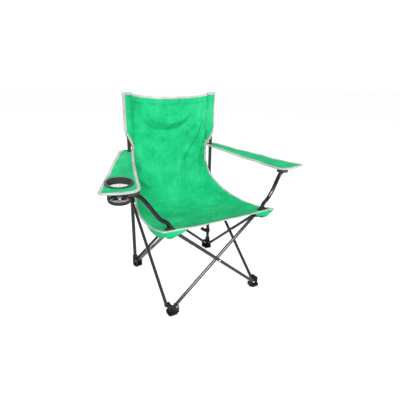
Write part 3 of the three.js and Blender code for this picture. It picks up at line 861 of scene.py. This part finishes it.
def sleeve(side):
    sign = SIGN[side]
    inner = HALF - SEAM
    count = 19
    turns = [math.pi * k / (count - 1) for k in range(count)]
    stations = [-inner + (inner + SLEEVE_FIN) * (0.5 - 0.5 * math.cos(turn)) for turn in turns]
    loop = [(s, -1) for s in stations] + [(s, 1) for s in reversed(stations[1:-1])]
    rows = 64
    points, uvs = [], []
    for i in range(rows):
        t = (i / (rows - 1)) ** 1.25
        for s, face in loop:
            share = (s + inner) / (inner + SLEEVE_FIN)
            z = SLEEVE_TOP + (sleeve_bottom(share) - SLEEVE_TOP) * t
            depth = face * sleeve_depth(s, z)
            ripple = 0.05 * math.sin(61 * z + 160 * s + sign) + 0.04 * math.sin(143 * z - 90 * s)
            slack = 1 + max(0.0, ripple) + 0.12 * max(0.0, -s / inner)
            y = HALF + depth * slack + 0.001 * max(0.0, -s / inner)
            points.append((sign * (HALF + s), y, z))
            uvs.append((s + depth, z))
    faces = grid_faces(rows, len(loop), True) + [tuple(range(len(loop)))]
    obj = mesh_object(f"pole_sleeve_{side}", points, faces, [fabric], uvs)
    face_outwards(obj)
    thickened(obj, 0.0010, offset=1)
    parts = sleeve_tapes(side)
    outer = np.linspace(SLEEVE_TOP, SLEEVE_LOW_OUTER, 40)
    edge = np.stack([np.full(40, sign * (HALF + SLEEVE_FIN)), np.full(40, HALF), outer], axis=1)
    for face in (-1, 1):
        sewn = SLEEVE_FIN - BINDING_WIDTH + 0.002
        rise = sleeve_half(sewn) + SLEEVE_TAPE
        line = edge + np.array([sign * (sewn - SLEEVE_FIN), face * rise, 0])
        parts.append(stitches(f"sleeve_thread_{side}_{face}", line[4:], (0, face, 0), thread))
        seam_z = np.linspace(SLEEVE_TOP - 0.008, SLEEVE_LOW_INNER + 0.008, 50)
        seam_y = HALF + 0.0010 + face * 0.0034
        seam = np.stack([np.full(50, sign * (SEAM + 0.0030)), np.full(50, seam_y), seam_z], axis=1)
        parts.append(stitches(f"sleeve_seam_{side}_{face}", seam, (0, face, 0), dark_thread))
    across = np.linspace(-inner, SLEEVE_FIN, 24)
    for face in (-1, 1):
        path = []
        for s in across:
            z = sleeve_bottom((s + inner) / (inner + SLEEVE_FIN))
            path.append((sign * (HALF + s), HALF + face * (sleeve_half(s) + 0.0010), z))
        up = np.repeat([UP], len(path), axis=0)
        parts.append(binding(f"sleeve_hem_{side}_{face}", np.array(path), up))
    return obj, join(f"sleeve_trim_{side}", parts)


for side in ("left", "right"):
    obj, trim = sleeve(side)
    for piece in (obj, trim):
        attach(piece, f"rear_{side}_corner")

# ---- corner pockets


def pocket(side):
    """Cloth under a front corner of the seat, hanging from its front and side edges."""
    sign = SIGN[side]
    column = 0 if side == "left" else SLING_COLUMNS - 1
    step = 1 if side == "left" else -1
    front = [hung[-1, column + step * k] for k in range(0, 13)]
    rear = [hung[-1 - k, column] for k in range(0, 19)]
    pieces = []
    for tag, line in (("front", front), ("side", rear)):
        line = np.array(line)
        line[:, 2] -= 0.0015
        count = len(line)
        share = np.linspace(0, 1, count)
        drop = 0.040 * (1 - share) ** 0.75 * np.minimum(1, 0.55 + 2.0 * share)
        tuck = np.array([sign * -0.012, 0.012, 0.0])
        rows = []
        drops = np.linspace(0, 1, 6)
        for t in drops:
            low = line.copy()
            low[:, 2] -= drop * t
            low += tuck * (t**1.4) * (1 - share)[:, None]
            rows.append(low)
        grid = np.array(rows)
        uvs = [(0.3 * s, 0.03 * t) for t in drops for s in share]
        points, faces = grid.reshape(-1, 3), grid_faces(len(drops), count)
        flap = mesh_object(f"pocket_{tag}_{side}", points, faces, [fabric], uvs)
        pieces.append(thickened(flap, 0.0016))
    return join(f"corner_pocket_{side}", pieces)


def collar_patch(side):
    """A ring of webbing sewn round the hole that the bracket's socket comes through."""
    sign = SIGN[side]
    flat = hung.reshape(-1, 3)
    count = 40
    points, uvs = [], []
    for radius in (COLLAR, COLLAR + 0.004, COLLAR + 0.008):
        for k in range(count):
            angle = 2 * math.pi * k / count
            x, y = sign * HALF + radius * math.cos(angle), -HALF + radius * math.sin(angle)
            near = np.argsort(np.hypot(flat[:, 0] - x, flat[:, 1] - y))[:4]
            points.append((x, y, float(flat[near, 2].mean())))
            uvs.append((radius * angle, radius))
    obj = mesh_object(f"collar_patch_{side}", points, grid_faces(3, count, True), [webbing], uvs)
    return thickened(obj, 0.0046)


for side in ("left", "right"):
    piece = join(f"corner_{side}", [pocket(side), collar_patch(side)])
    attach(piece, "seat_front")
    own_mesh(piece)

# ---- arm straps

STRAP_THICKNESS = 0.0052
STRAP_TAPE_WIDTH = 0.0100
strap_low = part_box("arm_strap_front_right")[0]
rear_low, rear_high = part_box("arm_strap_rear_right")
STRAP_FRONT_Y = strap_low[1]
STRAP_REAR_Y = rear_high[1]
CREASE_Y = rear_low[1]


def strap_height(y):
    """Middle of the strap's thickness at y, on the slope between its two ends."""
    low = strap_low[2] + 0.0025
    high = rear_high[2] - 0.0025
    return low + (high - low) * (y - STRAP_FRONT_Y) / (STRAP_REAR_Y - STRAP_FRONT_Y)


def strap_grid(side):
    sign = SIGN[side]
    front_in, front_out = HALF + 0.096, HALF + 0.241
    rear_in, rear_out = HALF - 0.024, HALF + 0.038
    rows, columns = 91, 31
    grid = np.zeros((rows, columns, 3))
    for i in range(rows):
        t = i / (rows - 1)
        y = STRAP_FRONT_Y + (STRAP_REAR_Y - STRAP_FRONT_Y) * t
        inner = front_in + (rear_in - front_in) * t + 0.006 * math.sin(math.pi * t)
        outer = front_out + (rear_out - front_out) * t + 0.004 * math.sin(math.pi * t)
        near = max(0.0, 1 - (y - STRAP_FRONT_Y) / 0.038)
        round_off = 0.034 * (1 - math.sqrt(max(0.0, 1 - near**2)))
        far = max(0.0, 1 - (STRAP_REAR_Y - y) / 0.016)
        round_end = 0.016 * (1 - math.sqrt(max(0.0, 1 - far**2)))
        inner, outer = inner + round_off * 0.7 + round_end, outer - round_off - round_end
        for j in range(columns):
            u = j / (columns - 1)
            sag = (0.0045 + 0.0030 * math.sin(math.pi * u)) * math.sin(math.pi * t)
            tip = max(0.0, 1 - (y - STRAP_FRONT_Y) / 0.07)
            curl = 0.007 * tip**2 * max(0.0, u - 0.45) / 0.55
            grid[i, j] = (sign * (inner + (outer - inner) * u), y, strap_height(y) - sag + curl)
    return grid


def strap_ripples(grid, side):
    rows, columns = grid.shape[:2]
    t = np.linspace(0, 1, rows)[:, None]
    u = np.linspace(0, 1, columns)[None, :]
    seed = 0.6 if side == "left" else 2.1
    wave = 0.0010 * np.sin(17 * t + 3 * u + seed) + 0.0007 * np.sin(31 * t - 4 * u + 2 * seed)
    wave += 0.0012 * np.sin(9 * t * (1 + 0.3 * u) + seed) * u
    grid = grid.copy()
    grid[..., 2] += wave * np.sin(math.pi * np.clip(t * 1.1, 0, 1))
    return grid


cup_low, cup_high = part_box("cup_ring")
cup = (np.array(cup_low) + np.array(cup_high)) / 2
CUP_FLANGE = (cup_high[0] - cup_low[0]) / 2
CUP_HOLE = CUP_FLANGE - 0.0050


def strap(side):
    grid = strap_ripples(strap_grid(side), side)
    rows, columns = grid.shape[:2]
    run = np.linspace(0, STRAP_REAR_Y - STRAP_FRONT_Y, rows)
    uvs = [(0.12 * j / (columns - 1), r) for r in run for j in range(columns)]
    faces = grid_faces(rows, columns)
    obj = mesh_object(f"strap_{side}", grid.reshape(-1, 3), faces, [fabric], uvs)
    sign = SIGN[side]
    cut_hole(obj, sign * HALF, HALF, POLE_RADIUS + 0.0010)
    if side == "left":
        cut_hole(obj, cup[0], cup[1], CUP_HOLE)
    thickened(obj, STRAP_THICKNESS, rounds=1, even=True)
    names = [f"arm_front_cloth_{side}", f"arm_rear_cloth_{side}"]
    return grid, split_by(obj, lambda layer, polygon: polygon.center[1], [CREASE_Y], names)


def strap_trim(side, grid):
    """Binding round the strap's outline and the stitches inside it, split at the crease."""
    rows, columns = grid.shape[:2]
    crease = int(np.argmin(np.abs(grid[:, 0, 1] - CREASE_Y)))
    parts = {"front": [], "rear": []}
    section = rounded_section(STRAP_TAPE_WIDTH, 0.0025, STRAP_THICKNESS + 0.0022)

    def tape(tag, path, inward, where):
        path = smoothed(path, 2)
        mat = webbing if tag == "end" else binding_cloth
        parts[where].append(sweep(f"strap_{tag}_{side}", path, inward, mat, section))
        line = along_edge(path, inward, STRAP_TAPE_WIDTH - 0.002)
        lift = STRAP_THICKNESS / 2 + 0.0011
        both_faces(parts[where], f"strap_thread_{tag}_{side}", line, UP, thread, lift)

    for tag, column, other in (("in", 0, 2), ("out", columns - 1, columns - 3)):
        for where, part in (("front", slice(0, crease + 1)), ("rear", slice(crease, rows))):
            edge = grid[part, column]
            tape(f"{tag}_{where}", edge, grid[part, other] - edge, where)
    tape("tip", grid[0], grid[2] - grid[0], "front")
    tape("end", grid[-1], grid[-3] - grid[-1], "rear")
    for where, row in (("front", 7), ("rear", -9)):  # the hem, and the end of the pole's loop
        line = grid[row, 2:-2]
        both_faces(parts[where], f"strap_hem_{side}", line, UP, dark_thread, STRAP_THICKNESS / 2)
    return {where: join(f"arm_{where}_trim_{side}", found) for where, found in parts.items()}


for side in ("left", "right"):
    grid, (front, rear) = strap(side)
    trim = strap_trim(side, grid)
    body = f"{side}_arm"
    for piece in (front, rear, *trim.values()):
        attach(piece, body)
    for piece in (rear, trim["rear"]):
        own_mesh(piece)
    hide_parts(f"arm_strap_front_{side}")
    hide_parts(f"arm_strap_rear_{side}")

# ---- cup net

arm_tilt = math.atan2(strap_height(HALF) - strap_height(STRAP_FRONT_Y), HALF - STRAP_FRONT_Y)
NET_TOP = 0.0145  # under the strap's middle, where the ring's skirt ends


def cup_net():
    """Knotted net for the cup: a fine grid of cords with a bound rim, in the strap's slope."""
    around, down = 60, 12
    depth = 0.0600
    top, bottom = CUP_HOLE - 0.0014, CUP_HOLE - 0.0042
    points = []
    for i in range(down + 1):
        t = i / down
        radius = top + (bottom - top) * t
        for k in range(around):
            angle = 2 * math.pi * (k + 0.5 * (i % 2)) / around
            ripple = 1 + 0.006 * math.sin(5 * angle + 2 * t) * t
            height = -NET_TOP - (depth - NET_TOP) * t
            reach = radius * ripple
            points.append((reach * math.cos(angle), reach * math.sin(angle), height))
    for ring in range(1, 7):
        radius = bottom * (1 - ring / 7)
        for k in range(around):
            angle = 2 * math.pi * k / around
            height = -depth - 0.0012 * math.sin(ring)
            points.append((radius * math.cos(angle), radius * math.sin(angle), height))
    faces = grid_faces(down + 7, around, True)
    obj = mesh_object("cup_net", points, faces, [net_cloth], [(0, 0)] * len(points))
    wires = obj.modifiers.new("cords", "WIREFRAME")
    wires.thickness = 0.0010
    wires.use_even_offset = False
    applied(obj)
    base = ring_band("cup_base_tape", bottom + 0.0006, -depth + 0.004, 0.008, webbing)
    rim = ring_band("cup_rim_tape", top + 0.0006, -NET_TOP - 0.003, 0.007, webbing)
    return join("cup_net", [obj, base, rim])


def ring_band(name, radius, height, width, mat):
    count = 64
    angles = np.linspace(0, 2 * math.pi, count, endpoint=False)
    section = rounded_section(width / 2, width / 2, 0.0022)
    points, uvs = [], []
    for angle in angles:
        for across, out in section:
            r = radius + out
            points.append((r * math.cos(angle), r * math.sin(angle), height + across))
            uvs.append((radius * angle, across))
    n = len(section)
    faces = [tuple(v % (count * n) for v in face) for face in grid_faces(count + 1, n, True)]
    return face_outwards(mesh_object(name, points, faces, [mat], uvs))


net = cup_net()
tilt = Matrix.Rotation(arm_tilt, 4, "X")
RING_MIDDLE = 0.0049  # the ring's own middle, under the strap's
seat_of_net = Vector(cup) + tilt.to_3x3() @ Vector((0, 0, RING_MIDDLE))
net.data.transform(Matrix.Translation(seat_of_net) @ tilt)
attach(net, "left_arm")
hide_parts("cup_mesh")

# ---- tie strap

tie_low, tie_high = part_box("tie_strap")
tie_height = (tie_low[2] + tie_high[2]) / 2
TIE_WIDTH = 0.020


def tie():
    """Webbing wound round the pole, with a short doubled tail."""
    radius = POLE_RADIUS + 0.0016
    loop = []
    for k in range(49):
        angle = math.pi + 2.2 * math.pi * k / 48
        grow = radius + 0.0016 * k / 48
        loop.append((HALF + grow * math.cos(angle), HALF + grow * math.sin(angle), tie_height))
    up = np.repeat([UP], len(loop), axis=0)
    half_width = TIE_WIDTH / 2
    section = rounded_section(half_width, half_width, 0.0018)
    parts = [sweep("tie_loop", np.array(loop), up, webbing, section)]
    tail = []
    for k in range(16):
        t = k / 15
        y = HALF + 0.0012 + 0.003 * math.sin(2.5 * t)
        tail.append((HALF - radius - 0.030 * t, y, tie_height + 0.020 * t**1.3))
    up = np.repeat([[0.45, 0, 0.9]], len(tail), axis=0)
    narrow = half_width - 0.001
    section = rounded_section(narrow, narrow, 0.0030)
    parts.append(sweep("tie_tail", np.array(tail), up, webbing, section))
    return join("tie_band", parts)


tie_band = tie()
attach(tie_band, "rear_right_corner")
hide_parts("tie_strap")

# ---- floor, light, camera


def floor():
    mat, tree, shader = new_material("floor")
    shader.inputs["Base Color"].default_value = grey(0.62)
    shader.inputs["Emission Color"].default_value = grey(1)
    seen_by_camera = node(tree, "ShaderNodeLightPath").outputs["Is Camera Ray"]
    glow = maths(tree, "MULTIPLY", seen_by_camera, 0.62)
    tree.links.new(glow, shader.inputs["Emission Strength"])
    shader.inputs["Roughness"].default_value = 0.9
    size = 60.0
    corners = [(x * size, y * size, -0.0005) for x, y in ((-1, -1), (1, -1), (1, 1), (-1, 1))]
    return mesh_object("floor", corners, [(0, 1, 2, 3)], [mat], smooth=False)


floor()

world = bpy.data.worlds.new("studio")
world.use_nodes = True
sky = world.node_tree
sky.nodes.clear()
seen = node(sky, "ShaderNodeBackground", Color=grey(1), Strength=1.05)
shine = node(sky, "ShaderNodeBackground", Color=grey(1), Strength=0.62)
mirrored = node(sky, "ShaderNodeBackground", Color=grey(1), Strength=0.20)
rays = node(sky, "ShaderNodeLightPath")
glossy, direct = rays.outputs["Is Glossy Ray"], rays.outputs["Is Camera Ray"]
mixer = "ShaderNodeMixShader"
soften = node(sky, mixer, [(0, glossy), (1, shine.outputs[0]), (2, mirrored.outputs[0])])
choose = node(sky, mixer, [(0, direct), (1, soften.outputs[0]), (2, seen.outputs[0])])
node(sky, "ShaderNodeOutputWorld", [(0, choose.outputs[0])])
bpy.context.scene.world = world


def area_light(name, place, target, size, power):
    light = bpy.data.lights.new(name, "AREA")
    light.shape = "DISK"
    light.size = size
    light.energy = power
    obj = bpy.data.objects.new(name, light)
    obj.location = place
    obj.rotation_euler = (Vector(target) - Vector(place)).to_track_quat("-Z", "Y").to_euler()
    bpy.context.scene.collection.objects.link(obj)


TARGET = (0.0, 0.0, 0.40)
area_light("key", (-1.5, -2.3, 2.0), TARGET, 1.1, 72)
area_light("fill", (2.2, -2.0, 1.1), TARGET, 1.0, 30)
area_light("rim", (0.6, 2.4, 2.2), TARGET, 1.2, 14)

CAMERA_AZIMUTH = math.radians(-29.04)
CAMERA_ELEVATION = math.radians(18.97)
CAMERA_ROLL = math.radians(0.74)
CAMERA_DISTANCE = 1.368
FOCAL_PIXELS = 316.9
FRAME_PIXELS = 400
SENSOR_WIDTH = 36.0

data = bpy.data.cameras.new("camera")
data.sensor_width = SENSOR_WIDTH
data.lens = SENSOR_WIDTH * FOCAL_PIXELS / FRAME_PIXELS
data.shift_x = 0.0166
data.shift_y = -0.0162
camera = bpy.data.objects.new("camera", data)
bpy.context.scene.collection.objects.link(camera)
back_way = Vector(
    (
        math.sin(CAMERA_AZIMUTH) * math.cos(CAMERA_ELEVATION),
        -math.cos(CAMERA_AZIMUTH) * math.cos(CAMERA_ELEVATION),
        math.sin(CAMERA_ELEVATION),
    )
)
camera.location = Vector(TARGET) + back_way * CAMERA_DISTANCE
aim = (-back_way).to_track_quat("-Z", "Y").to_matrix().to_4x4()
camera.rotation_euler = (aim @ Matrix.Rotation(CAMERA_ROLL, 4, "Z")).to_euler()
bpy.context.scene.camera = camera

bpy.context.scene.view_settings.view_transform = "Standard"
